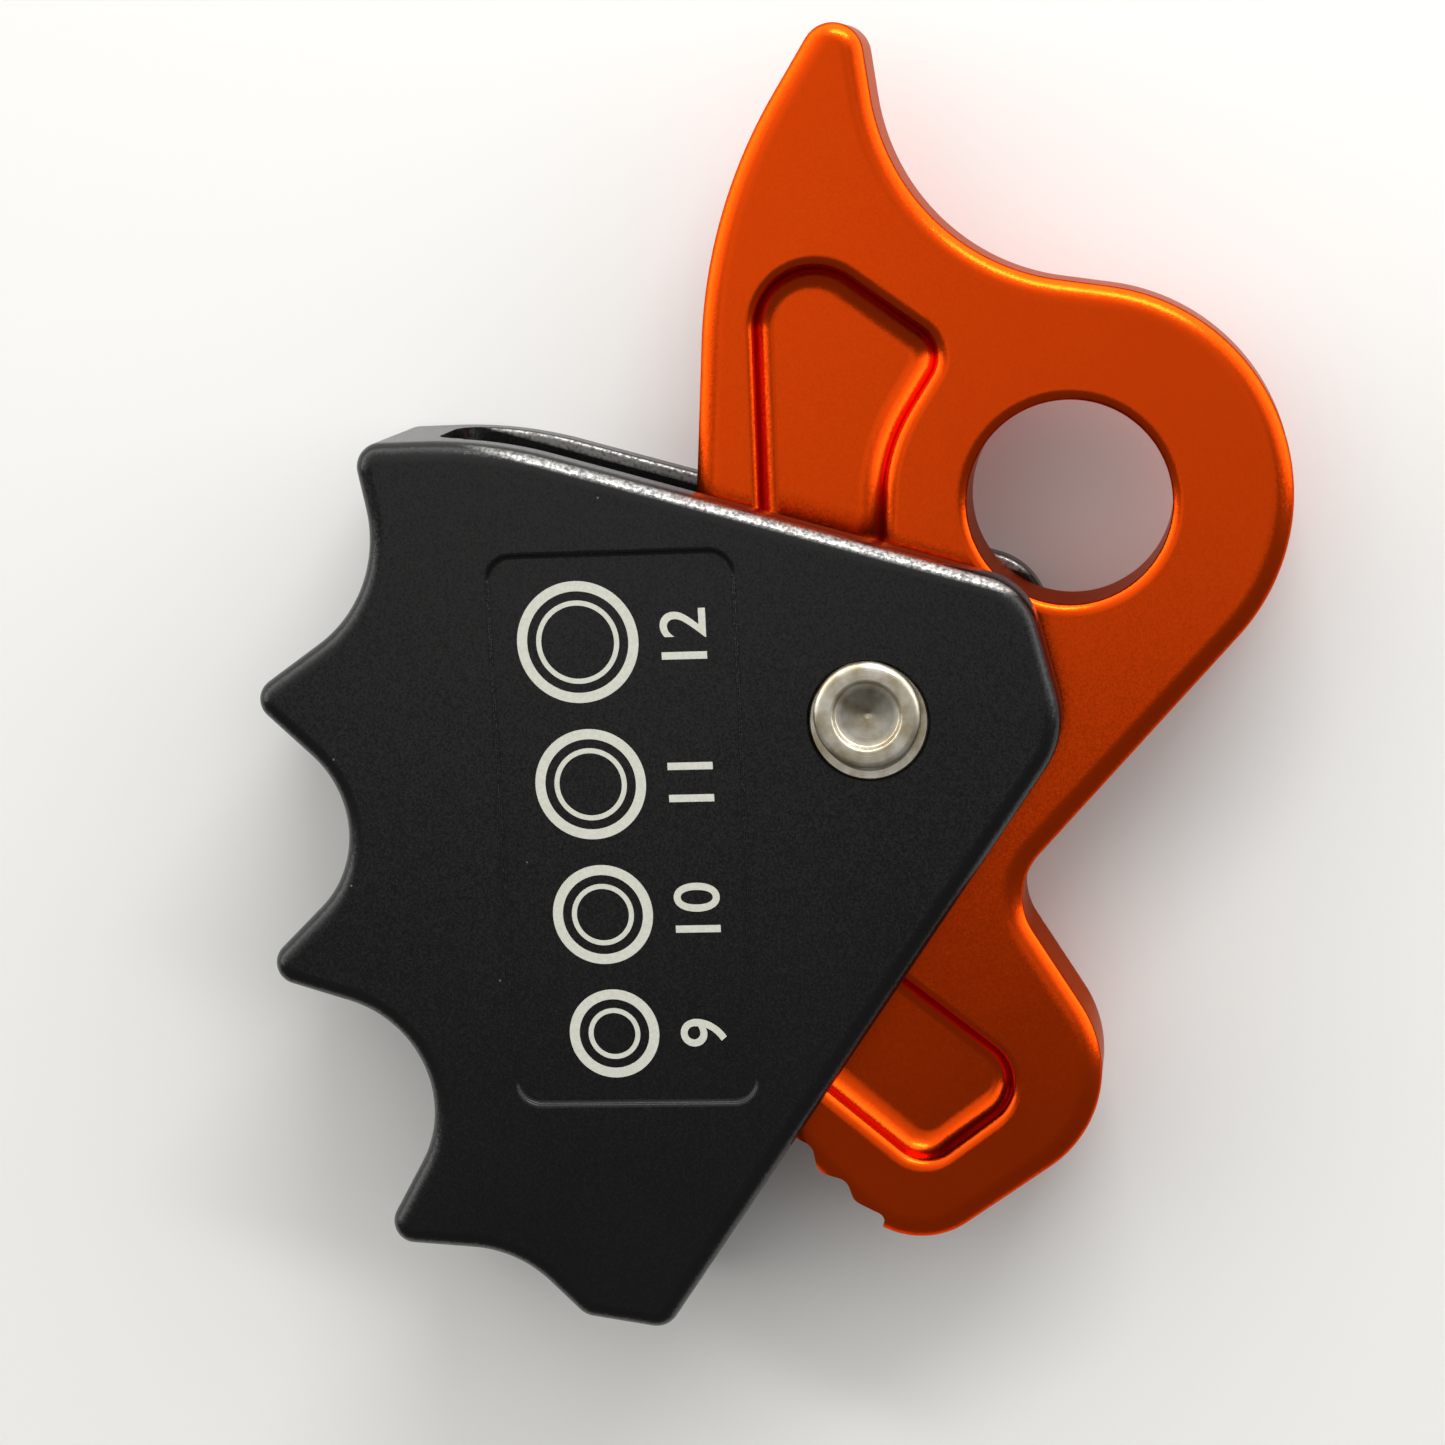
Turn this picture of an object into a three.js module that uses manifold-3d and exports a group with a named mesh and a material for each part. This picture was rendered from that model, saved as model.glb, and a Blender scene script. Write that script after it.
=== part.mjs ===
// Rope grab with a sprung cam lever: a one-piece U-section body with finger scallops, and a toothed lever
// with a carabiner eye, which turns between the two cheeks on a riveted pivot.
//
// Lengths are in millimetres and angles in degrees. The plan is drawn about the pivot axis: X points to the
// side of the eye, Y runs along the rope, and Z rises from the rear face of the body to its front face.
import * as THREE from 'three';
import { mergeVertices } from 'three/addons/utils/BufferGeometryUtils.js';
import Module from 'manifold-3d';

const wasm = await Module();
wasm.setup();

// Clearances and accuracy that every piece shares.
const fitGap = 0.25;
const cutOverrun = 1;
const chordError = 0.06;
const coarsestArcStep = 22.5;
const filletSegments = 3;
const turnedSegments = 48;

// The body: two cheeks joined by the spine that the fingers hold.
const cheekThickness = 4.3;
const ropeGap = 12.9;
const bodyEdgeRadius = 1.8;
const spineThickness = 3.6;
const channelCornerRadius = 3;

// The finger scallops lie on an arc, and a blunt horn stands between each two.
const scallopRadii = [13.3, 10.7, 11.5, 11.9];
const gripArcRadius = 112.5;
const gripReach = 63.6;
const gripCentreY = -0.7;
const gripMiddleAngle = 192.2;
const hornInsets = [4.1, 1.6, 2.2];
const hornRadius = 2.2;
const hornFlank = 1.3;

// The outer corners of the cheeks.
const topCorner = { radius: 2.4, flank: 0.4, bearing: 22.7 };
const shoulder = { radius: 44, run: 4 };
const noseCorner = { x: 9.95, y: 7.15, radius: 6.9 };
const pivotCorner = { x: 9.4, y: -0.1, radius: 9.1 };
const footCorner = { radius: 2.4, flank: 0.6, bearing: 27.8 };
const toeCorner = { radius: 2.4, run: 6.1, drop: 1.05 };

// The shallow recess for the marking, on both cheeks.
const label = { width: 25, height: 55.9, x: -24.6, y: -10.45, cornerRadius: 2.8, depth: 0.4, wall: 0.3 };

// The riveted pivot and what turns on it.
const shankRadius = 4;
const rivetHeadRadius = 5.3;
const frontHeadHeight = 1.15;
const rearHeadHeight = 1;
const rearHeadSink = 0.2;
const rivetEdgeRadius = 0.55;
const dish = { rimRadius: 3.35, floorRadius: 2.75, wallDepth: 0.75, coneDepth: 0.7 };
const dimple = { radius: 0.4, depth: 0.35 };
const seatWasher = { radius: 5.8, thickness: 0.7, bevel: 0.3 };
const bushWall = 1;
const thrustWasher = { width: 1.8, thickness: 0.7 };

// The cam lever.
const leverEdgeRadius = 1.2;
const eye = { x: 19.7, y: 19.85, radius: 9.9, rim: 10.5, aside: 1, rise: 0.45 };
const saddle = { radius: 21, flank: 0.3, bearing: 87 };
const leverTip = { radius: 3, flank: 0.4 };
const armBack = { x: 34.45, y: 32.5, radius: 50 };
const hubRadius = 18.3;
const toothArc = { x: 9.3, y: -31.6, radius: 22.8 };
const lobeFoot = { x: 2.6, y: -45.7, radius: 8.2 };
const lobeHeel = { x: 8.8, y: -36.5, radius: 12.35 };
const neck = { x: 20.3, y: -19.25, radius: 6.4 };

// The gullets between the rounded teeth of the cam face, and the small notch where the teeth end at the foot.
const gulletCount = 4;
const gulletRadius = 1.35;
const gulletDepth = 1.2;
const gulletPitch = 5.13;
const firstGulletBearing = -131.1;
const crestDrop = 0.08;
const footNotch = { radius: 0.97, depth: 0.37, bearing: -119 };
const combMargin = 5;

// The lightening pockets, two on each face of the lever.
const pocketDepth = 2.7;
const pocketWall = 2.4;
const eyeWeb = 7;
const hubWebRadius = 14;
const pocketNip = 0.35;
const upperPocket = {
  noseRadius: 3.9,
  noseBearing: 136,
  heelRadius: 3.2,
  top: { x: -4, y: 37.7, radius: 6.5 },
  back: { x: -7.5, y: 15.7, radius: 3.2 },
};
const lowerPocket = {
  nose: { x: 7.6, y: -37.9, radius: 5.2 },
  top: { x: -4, y: -25.9, radius: 3.3 },
  back: { x: -6.7, y: -34.9, radius: 3.3 },
  foot: { x: 3.2, y: -42.1, radius: 4.4 },
};

// The torsion spring that shuts the cam, sunk round the boss in the rear face of the lever.
const wireDiameter = 1.3;
const springRadius = 9.35;
const springTurns = 2.25;
const springPitch = 1.9;
const springStart = -120;
const springRise = 1.5;
const springLegReach = 5;
const springSeatClearance = 0.9;
const springLegBend = 1.2;
const legClearance = 0.35;
const legHoleDepth = 2.4;
const coilStepsPerTurn = 16;
const bendSteps = 3;
const wireSides = 6;
const wireStep = 1.4;

// Heights up the stack, worked out from the pieces that lie on each other.
const bodyThickness = ropeGap + cheekThickness * 2;
const washerStep = thrustWasher.thickness + fitGap * 2;
const leverThickness = ropeGap - washerStep * 2;
const leverRear = cheekThickness + washerStep;
const bushInnerRadius = shankRadius + fitGap;
const bushRadius = bushInnerRadius + bushWall;
const leverBoreRadius = bushRadius + fitGap;
const thrustWasherRadius = leverBoreRadius + thrustWasher.width;
const bossRadius = thrustWasherRadius + fitGap;
const seatStep = seatWasher.thickness + fitGap * 2;
const rearSeatDepth = rearHeadSink + rearHeadHeight + seatStep;

/** A point at a distance and a bearing from another. */
function polar(from, distance, bearing) {
  const angle = THREE.MathUtils.degToRad(bearing);
  return { x: from.x + distance * Math.cos(angle), y: from.y + distance * Math.sin(angle) };
}

/** An outward round of an outline, and its opposite, a hollow one. */
const round = (place, radius = place.radius) => ({ x: place.x, y: place.y, turn: radius });
const hollow = (place, radius = place.radius) => ({ x: place.x, y: place.y, turn: -radius });

/** The bearing of the straight run that leaves one round and meets the next without a kink. */
function runBearing(from, to) {
  const distance = Math.hypot(to.x - from.x, to.y - from.y);
  const lean = Math.asin((to.turn - from.turn) / distance);
  return Math.atan2(to.y - from.y, to.x - from.x) - lean;
}

/** An outline that runs anticlockwise round a list of rounds and hollows, as a belt runs round pulleys. */
function beltOutline(rounds) {
  const bearings = rounds.map((item, i) => runBearing(item, rounds[(i + 1) % rounds.length]));
  const points = rounds.flatMap((item, i) => {
    const arriving = bearings[(i + rounds.length - 1) % rounds.length];
    const bend = Math.atan2(Math.sin(bearings[i] - arriving), Math.cos(bearings[i] - arriving));
    const radius = Math.abs(item.turn);
    const finest = 2 * Math.acos(1 - Math.min(chordError / radius, 1));
    const step = Math.min(finest, THREE.MathUtils.degToRad(coarsestArcStep));
    const count = Math.max(1, Math.ceil(Math.abs(bend) / step));
    return Array.from({ length: count + 1 }, (_, k) => {
      const bearing = arriving + (bend * k) / count;
      return new THREE.Vector2(item.x + item.turn * Math.sin(bearing), item.y - item.turn * Math.cos(bearing));
    });
  });
  return new THREE.Shape(points);
}

/** Where two circles about given places cross, on the left of the way from the first to the second. */
function crossing(first, firstReach, second, secondReach) {
  const gap = Math.hypot(second.x - first.x, second.y - first.y);
  const along = (gap * gap + firstReach * firstReach - secondReach * secondReach) / (2 * gap);
  const aside = Math.sqrt(Math.max(firstReach * firstReach - along * along, 0));
  const ux = (second.x - first.x) / gap;
  const uy = (second.y - first.y) / gap;
  return { x: first.x + ux * along - uy * aside, y: first.y + uy * along + ux * aside };
}

/** A closed solid, ready to be joined and cut, from any closed geometry. */
function solid(geometry) {
  geometry.deleteAttribute('normal');
  geometry.deleteAttribute('uv');
  const merged = mergeVertices(geometry);
  const vertProperties = new Float32Array(merged.attributes.position.array);
  const triVerts = new Uint32Array(merged.index.array);
  return new wasm.Manifold(new wasm.Mesh({ numProp: 3, vertProperties, triVerts }));
}

/** The geometry of a finished solid. */
function geometryOf(part) {
  const { vertProperties, triVerts } = part.getMesh();
  const geometry = new THREE.BufferGeometry();
  geometry.setAttribute('position', new THREE.BufferAttribute(new Float32Array(vertProperties), 3));
  geometry.setIndex(new THREE.BufferAttribute(new Uint32Array(triVerts), 1));
  return geometry;
}

/** A plate between two heights, whose edges are rounded by a fillet, or drawn in by a wall and a depth. */
function plate(shape, low, high, wall = 0, depth = wall) {
  const rounded = wall > 0;
  const geometry = new THREE.ExtrudeGeometry(shape, {
    depth: high - low - depth * 2,
    bevelEnabled: rounded,
    bevelThickness: depth,
    bevelSize: wall,
    bevelOffset: -wall,
    bevelSegments: filletSegments,
    steps: 1,
  });
  return solid(geometry.translate(0, 0, low + depth));
}

/** A round bar between two heights. */
function bar(radius, low, high, place = { x: 0, y: 0 }) {
  const geometry = new THREE.CylinderGeometry(radius, radius, high - low, turnedSegments);
  return solid(geometry.rotateX(Math.PI / 2).translate(place.x, place.y, (low + high) / 2));
}

/** A turned solid from a profile of radius and height pairs. */
function turned(profile) {
  const points = profile.map(([radius, height]) => new THREE.Vector2(radius, height));
  return solid(new THREE.LatheGeometry(points, turnedSegments).rotateX(Math.PI / 2));
}

/** A flat ring whose outer edge is broken on the side that shows. */
function ring(innerRadius, outerRadius, thickness, bevel = 0) {
  const square = [[outerRadius, thickness]];
  const broken = [[outerRadius, thickness - bevel], [outerRadius - bevel, thickness]];
  const edge = bevel > 0 ? broken : square;
  return turned([[innerRadius, 0], [outerRadius, 0], ...edge, [innerRadius, thickness], [innerRadius, 0]]);
}

/** Where the centres of the finger scallops lie, and the horns between them. */
function gripPlaces() {
  const centre = { x: gripArcRadius - gripReach, y: gripCentreY };
  const reaches = scallopRadii.map((radius) => radius + hornRadius + hornFlank);
  const steps = hornInsets.map((inset, i) => {
    const chord = Math.sqrt(reaches[i] ** 2 - inset ** 2) + Math.sqrt(reaches[i + 1] ** 2 - inset ** 2);
    return 2 * THREE.MathUtils.radToDeg(Math.asin(chord / 2 / gripArcRadius));
  });
  const turnBefore = (count) => steps.slice(0, count).reduce((sum, step) => sum + step, 0);
  const first = gripMiddleAngle - turnBefore(steps.length) / 2;
  const scallops = scallopRadii.map((radius, i) => {
    return { ...polar(centre, gripArcRadius, first + turnBefore(i)), radius };
  });
  const horns = steps.map((_, i) => crossing(scallops[i], reaches[i], scallops[i + 1], reaches[i + 1]));
  return { scallops, horns };
}

/** The outline of both cheeks. */
function cheekOutline({ scallops, horns }) {
  const first = scallops[0];
  const last = scallops[scallops.length - 1];
  const corner = polar(first, first.radius + topCorner.radius + topCorner.flank, topCorner.bearing);
  const foot = polar(last, last.radius + footCorner.radius + footCorner.flank, footCorner.bearing);
  const toe = { x: foot.x + toeCorner.run, y: foot.y - toeCorner.drop };
  const brow = { x: corner.x + shoulder.run, y: corner.y + topCorner.radius - shoulder.radius };
  const grip = scallops.flatMap((scallop, i) => {
    return i < horns.length ? [hollow(scallop), round(horns[i], hornRadius)] : [hollow(scallop)];
  });
  return beltOutline([
    round(pivotCorner),
    round(noseCorner),
    round(brow, shoulder.radius),
    round(corner, topCorner.radius),
    ...grip,
    round(foot, footCorner.radius),
    round(toe, toeCorner.radius),
  ]);
}

/** A rectangle with rounded corners, about a place. */
function roundedRectangle(place, width, height, cornerRadius) {
  const dx = width / 2 - cornerRadius;
  const dy = height / 2 - cornerRadius;
  const corners = [[dx, -dy], [dx, dy], [-dx, dy], [-dx, -dy]];
  return beltOutline(corners.map(([x, y]) => round({ x: place.x + x, y: place.y + y }, cornerRadius)));
}

/** The straight rope channel: a slot between the cheeks with rounded corners at the spine. */
function ropeChannel(wallX, length) {
  const reach = gripReach * 2;
  const corner = channelCornerRadius;
  const half = ropeGap / 2;
  const mouth = reach - corner;
  const section = beltOutline([
    round({ x: corner, y: -half + corner }, corner),
    round({ x: mouth, y: -half + corner }, corner),
    round({ x: mouth, y: half - corner }, corner),
    round({ x: corner, y: half - corner }, corner),
  ]);
  const slot = new THREE.ExtrudeGeometry(section, { depth: length, bevelEnabled: false, steps: 1 });
  slot.rotateX(Math.PI / 2).translate(wallX, length / 2, bodyThickness / 2);
  return solid(slot);
}

/** The body, machined from one piece. */
function body() {
  const places = gripPlaces();
  const outline = cheekOutline(places);
  const valley = Math.max(...places.scallops.slice(0, -1).map((scallop) => scallop.x + scallop.radius));
  const wallX = valley + spineThickness;
  const recess = roundedRectangle(label, label.width, label.height, label.cornerRadius);
  const legHole = polar({ x: 0, y: 0 }, springRadius, springStart);
  const seatRadius = seatWasher.radius + fitGap;
  const top = bodyThickness + cutOverrun;
  const cuts = [
    ropeChannel(wallX, gripArcRadius * 2),
    bar(bushInnerRadius, -cutOverrun, top),
    bar(seatRadius, bodyThickness - seatStep, top),
    bar(seatRadius, -cutOverrun, rearSeatDepth),
    plate(recess, bodyThickness - label.depth, top, label.wall, label.depth),
    plate(recess, -cutOverrun, label.depth, label.wall, label.depth),
    bar(wireDiameter / 2 + legClearance, cheekThickness - legHoleDepth, cheekThickness + cutOverrun, legHole),
  ];
  return cuts.reduce((part, cut) => part.subtract(cut), plate(outline, 0, bodyThickness, bodyEdgeRadius));
}

/** The outline of the lever, without its teeth and its eye. */
function leverOutline() {
  const lobe = { x: eye.x + eye.aside, y: eye.y + eye.rise, radius: eye.radius + eye.rim };
  const thumbRest = polar(lobe, lobe.radius + saddle.radius + saddle.flank, saddle.bearing);
  const tipFromBack = armBack.radius - leverTip.radius + leverTip.flank;
  const tipFromRest = saddle.radius + leverTip.radius + leverTip.flank;
  const tip = crossing(armBack, tipFromBack, thumbRest, tipFromRest);
  return beltOutline([
    round(lobe),
    hollow(thumbRest, saddle.radius),
    round(tip, leverTip.radius),
    round(armBack),
    round({ x: 0, y: 0 }, hubRadius),
    round(toothArc),
    round(lobeFoot),
    round(lobeHeel),
    hollow(neck),
  ]);
}

/** The pocket in the arm: it follows the eye on one side and the hub below. */
function upperPocketOutline() {
  const hub = { x: 0, y: 0 };
  const web = eye.radius + eyeWeb;
  const { noseRadius, noseBearing, heelRadius } = upperPocket;
  const nose = polar(eye, web + noseRadius + pocketNip, noseBearing);
  const heel = crossing(hub, hubWebRadius + heelRadius + pocketNip, eye, web + heelRadius + pocketNip);
  return beltOutline([
    round(nose, noseRadius),
    round(upperPocket.top),
    round(upperPocket.back),
    hollow(hub, hubWebRadius),
    round(heel, heelRadius),
    hollow(eye, web),
  ]);
}

/** The pocket behind the teeth. */
function lowerPocketOutline() {
  const { nose, top, back, foot } = lowerPocket;
  return beltOutline([round(nose), round(top), round(back), round(foot)]);
}

/** The cutter that leaves the teeth standing: gullets along its inner side, and hollows for the crests. */
function gulletComb() {
  const step = THREE.MathUtils.radToDeg(gulletPitch / toothArc.radius);
  const gulletBearings = Array.from({ length: gulletCount }, (_, i) => firstGulletBearing - step * i);
  const bearings = [footNotch.bearing, ...gulletBearings];
  const bowl = (radius, depth, bearing) => {
    return round(polar(toothArc, toothArc.radius - depth + radius, bearing), radius);
  };
  const notch = bowl(footNotch.radius, footNotch.depth, footNotch.bearing);
  const bowls = [notch, ...gulletBearings.map((bearing) => bowl(gulletRadius, gulletDepth, bearing))];
  const crestRadius = gulletPitch / 2 - gulletRadius;
  const crestReach = toothArc.radius - crestDrop - crestRadius;
  const crests = gulletBearings.map((bearing, i) => {
    return hollow(polar(toothArc, crestReach, (bearings[i] + bearing) / 2), crestRadius);
  });
  const inner = bowls.flatMap((item, i) => (i > 0 ? [crests[i - 1], item] : [item]));
  const outer = bearings.map((bearing) => {
    return round(polar(toothArc, toothArc.radius + combMargin, bearing), gulletRadius);
  });
  return plate(beltOutline([...inner, ...outer.reverse()]), -cutOverrun, leverThickness + cutOverrun);
}

/** The annular seat of the spring, in the rear face of the lever, and the slot for the spring's leg. */
function springSeat() {
  const outer = springRadius + wireDiameter / 2 + springSeatClearance;
  const depth = springTop() - leverRear + fitGap * 2;
  const boss = bar(bossRadius, -cutOverrun, depth);
  const slotLength = springRadius + springLegReach + legClearance;
  const slotWidth = wireDiameter + legClearance * 2;
  const slot = new THREE.BoxGeometry(slotLength - bossRadius, slotWidth, depth + cutOverrun);
  slot.translate((slotLength + bossRadius) / 2, 0, (depth - cutOverrun) / 2);
  slot.rotateZ(THREE.MathUtils.degToRad(springStart + springTurns * 360));
  return bar(outer, -cutOverrun, depth).subtract(boss).add(solid(slot));
}

/** The lever, forged and then machined on both faces. */
function camLever() {
  const outline = leverOutline();
  const hole = new THREE.Path().absarc(eye.x, eye.y, eye.radius, 0, Math.PI * 2, true);
  outline.holes.push(hole);
  const top = leverThickness + cutOverrun;
  const pockets = [upperPocketOutline(), lowerPocketOutline()].flatMap((shape) => [
    plate(shape, leverThickness - pocketDepth, top + pocketDepth, pocketWall, pocketDepth),
    plate(shape, -cutOverrun - pocketDepth, pocketDepth, pocketWall, pocketDepth),
  ]);
  const cuts = [gulletComb(), ...pockets, bar(leverBoreRadius, -cutOverrun, top), springSeat()];
  return cuts.reduce((part, cut) => part.subtract(cut), plate(outline, 0, leverThickness, leverEdgeRadius));
}

/** The height of the top of the spring, over the rear face of the body. */
function springTop() {
  return cheekThickness + springRise + springPitch * springTurns + wireDiameter / 2;
}

/** The centre line of the spring: a leg down into the cheek, the turns, and a leg out into the lever. */
function springPath() {
  const base = cheekThickness + springRise;
  const at = (radius, turns, height) => {
    const place = polar({ x: 0, y: 0 }, radius, springStart + turns * 360);
    return new THREE.Vector3(place.x, place.y, height);
  };
  const turnsAlong = (length) => length / (Math.PI * 2 * springRadius);
  const bend = Array.from({ length: bendSteps + 1 }, (_, i) => {
    const angle = (i / bendSteps) * (Math.PI / 2);
    return { onward: springLegBend * Math.sin(angle), aside: springLegBend * (1 - Math.cos(angle)) };
  });
  const count = Math.round(springTurns * coilStepsPerTurn) - 1;
  const coil = Array.from({ length: count }, (_, i) => {
    const turns = (i + 1) / coilStepsPerTurn;
    return at(springRadius, turns, base + springPitch * turns);
  });
  const end = base + springPitch * springTurns;
  return [
    at(springRadius, 0, cheekThickness - legHoleDepth + legClearance),
    ...bend.map(({ onward, aside }) => at(springRadius, turnsAlong(aside), base - springLegBend + onward)),
    ...coil,
    ...bend.map(({ onward, aside }) => {
      return at(springRadius + aside, springTurns - turnsAlong(springLegBend - onward), end);
    }),
    at(springRadius + springLegReach, springTurns, end),
  ];
}

/** The torsion spring, wound from one wire. */
function torsionSpring() {
  const path = new THREE.CatmullRomCurve3(springPath(), false, 'centripetal');
  const section = new THREE.Shape(
    Array.from({ length: wireSides }, (_, i) => {
      const place = polar({ x: 0, y: 0 }, wireDiameter / 2, (i * 360) / wireSides);
      return new THREE.Vector2(place.x, place.y);
    }),
  );
  const steps = Math.round(path.getLength() / wireStep);
  console.log(`least gap of the spring to itself: ${selfGap(path).toFixed(2)} mm`);
  return solid(new THREE.ExtrudeGeometry(section, { steps, extrudePath: path, bevelEnabled: false }));
}

/** The least gap between two stretches of the wire that lie more than half a turn apart. */
function selfGap(path) {
  const count = Math.round(path.getLength() / wireStep);
  const points = path.getSpacedPoints(count);
  const apart = Math.ceil((Math.PI * springRadius) / wireStep);
  let least = Infinity;
  for (let i = 0; i < count; i += 1) {
    for (let k = i + apart; k <= count; k += 1) {
      least = Math.min(least, points[i].distanceTo(points[k]));
    }
  }
  return least - wireDiameter;
}

/** The points of a rounded outer edge on a turned profile, about its centre, from the side to the top. */
function quarterRound(radius, height, reach) {
  return Array.from({ length: filletSegments + 1 }, (_, i) => {
    const angle = (i / filletSegments) * (Math.PI / 2);
    return [radius + reach * Math.cos(angle), height + reach * Math.sin(angle)];
  });
}

/** The rivet: a flat head sunk in the rear cheek, the shank, and a dished head that stands on the front. */
function pivotRivet() {
  const face = bodyThickness;
  const crown = face + frontHeadHeight;
  const rear = rearHeadSink + rearHeadHeight;
  const edge = rivetEdgeRadius;
  const coneFoot = crown - dish.wallDepth - dish.coneDepth;
  return turned([
    [0, rearHeadSink],
    [rivetHeadRadius - edge, rearHeadSink],
    [rivetHeadRadius, rearHeadSink + edge],
    [rivetHeadRadius, rear],
    [shankRadius, rear],
    [shankRadius, face],
    [rivetHeadRadius, face],
    ...quarterRound(rivetHeadRadius - edge, crown - edge, edge),
    [dish.rimRadius, crown],
    [dish.floorRadius, crown - dish.wallDepth],
    [dimple.radius, coneFoot],
    [0, coneFoot - dimple.depth],
  ]);
}

// Finishes, one for each material.
const blackAnodised = new THREE.MeshStandardMaterial({ color: 0x262627, roughness: 0.5, metalness: 0.6 });
const orangeAnodised = new THREE.MeshStandardMaterial({ color: 0xc8481a, roughness: 0.4, metalness: 0.8 });
const stainless = new THREE.MeshStandardMaterial({ color: 0xc9c0aa, roughness: 0.3, metalness: 1 });
const bronze = new THREE.MeshStandardMaterial({ color: 0xa9814a, roughness: 0.4, metalness: 1 });
const acetal = new THREE.MeshStandardMaterial({ color: 0xe6e2d6, roughness: 0.6, metalness: 0 });
const springSteel = new THREE.MeshStandardMaterial({ color: 0x8d8f92, roughness: 0.35, metalness: 1 });

/** One named piece, at its height over the rear face. */
function piece(name, part, material, height = 0) {
  const mesh = new THREE.Mesh(geometryOf(part), material);
  mesh.name = name;
  mesh.position.z = height;
  return mesh;
}

const thrustRing = () => ring(leverBoreRadius, thrustWasherRadius, thrustWasher.thickness);
const seatRing = () => ring(bushInnerRadius, seatWasher.radius, seatWasher.thickness, seatWasher.bevel);

// The pieces as they go together: the lever, its bush, washers and spring between the cheeks, then the rivet.
const assembly = new THREE.Group();
assembly.add(piece('body', body(), blackAnodised));

const leverGroup = new THREE.Group();
leverGroup.position.z = leverRear;
leverGroup.add(piece('cam_lever', camLever(), orangeAnodised));
leverGroup.add(piece('thrust_washer_rear', thrustRing(), acetal, -fitGap - thrustWasher.thickness));
leverGroup.add(piece('thrust_washer_front', thrustRing(), acetal, leverThickness + fitGap));
assembly.add(leverGroup);

const bush = ring(bushInnerRadius, bushRadius, ropeGap - fitGap * 2);
assembly.add(piece('pivot_bush', bush, bronze, cheekThickness + fitGap));
assembly.add(piece('torsion_spring', torsionSpring(), springSteel));
assembly.add(piece('pivot_rivet', pivotRivet(), stainless));
assembly.add(piece('rivet_washer_front', seatRing(), stainless, bodyThickness - seatStep + fitGap));

const rearSeat = piece('rivet_washer_rear', seatRing(), stainless, rearSeatDepth - fitGap);
rearSeat.rotation.x = Math.PI;
assembly.add(rearSeat);

// The origin is the middle of the rear face's box, on the face that the part lies on.
const extent = new THREE.Box3().setFromObject(assembly);
const middle = extent.getCenter(new THREE.Vector3());
assembly.position.set(-middle.x, -middle.y, -extent.min.z);

export default assembly;
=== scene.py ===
"""Rope grab with a sprung cam lever, dressed for the camera over its CAD frame.

The plan is drawn in millimetres about the pivot, with X to the side of the eye and Y along the rope.
Heights rise from the rear face, on which the grab lies. Bearings and angles are in degrees.
"""

import math

import bmesh
import bpy
from mathutils import Matrix, Vector


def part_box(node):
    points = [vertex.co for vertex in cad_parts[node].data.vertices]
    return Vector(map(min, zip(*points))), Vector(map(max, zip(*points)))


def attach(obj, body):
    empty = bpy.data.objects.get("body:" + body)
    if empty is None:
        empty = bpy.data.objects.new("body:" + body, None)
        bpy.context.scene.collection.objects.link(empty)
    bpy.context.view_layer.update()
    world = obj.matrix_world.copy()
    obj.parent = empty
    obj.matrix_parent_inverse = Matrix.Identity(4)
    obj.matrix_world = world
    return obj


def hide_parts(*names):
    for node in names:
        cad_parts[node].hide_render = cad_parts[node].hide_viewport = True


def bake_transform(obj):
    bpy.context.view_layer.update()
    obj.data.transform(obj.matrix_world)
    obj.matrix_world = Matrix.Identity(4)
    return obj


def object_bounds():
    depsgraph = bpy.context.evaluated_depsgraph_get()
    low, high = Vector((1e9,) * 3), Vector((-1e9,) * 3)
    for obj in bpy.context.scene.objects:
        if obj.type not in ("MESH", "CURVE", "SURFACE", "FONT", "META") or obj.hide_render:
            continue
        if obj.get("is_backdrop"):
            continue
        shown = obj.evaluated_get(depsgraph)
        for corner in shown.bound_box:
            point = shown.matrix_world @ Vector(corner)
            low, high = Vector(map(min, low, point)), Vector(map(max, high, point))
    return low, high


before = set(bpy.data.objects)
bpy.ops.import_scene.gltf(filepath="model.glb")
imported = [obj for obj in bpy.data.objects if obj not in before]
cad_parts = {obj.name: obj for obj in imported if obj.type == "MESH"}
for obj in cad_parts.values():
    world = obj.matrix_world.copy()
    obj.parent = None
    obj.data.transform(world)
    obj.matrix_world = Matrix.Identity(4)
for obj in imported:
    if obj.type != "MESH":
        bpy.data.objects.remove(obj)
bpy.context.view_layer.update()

# The camera stands over the front face, a little to the right of the rivet and above it, with a short
# telephoto lens. The grab is turned a little anticlockwise in the picture.
MM = 0.001
body_thickness = 21.5
lens_length = 85
sensor_width = 36
aim = Vector((-14.2, 0.24, body_thickness))
stand_off = 331.0
near_clip = 10
sight_right_share, sight_up_share = 0.134, 0.1747
picture_roll = 2.8

bush_low, bush_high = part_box("pivot_bush")
pivot = (bush_low + bush_high) / 2


def place(x, y, z):
    """A point of the plan, at a height, in the frame of the finished part and in metres."""
    return Vector((pivot.x + x * MM, pivot.y + y * MM, z * MM))


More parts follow.
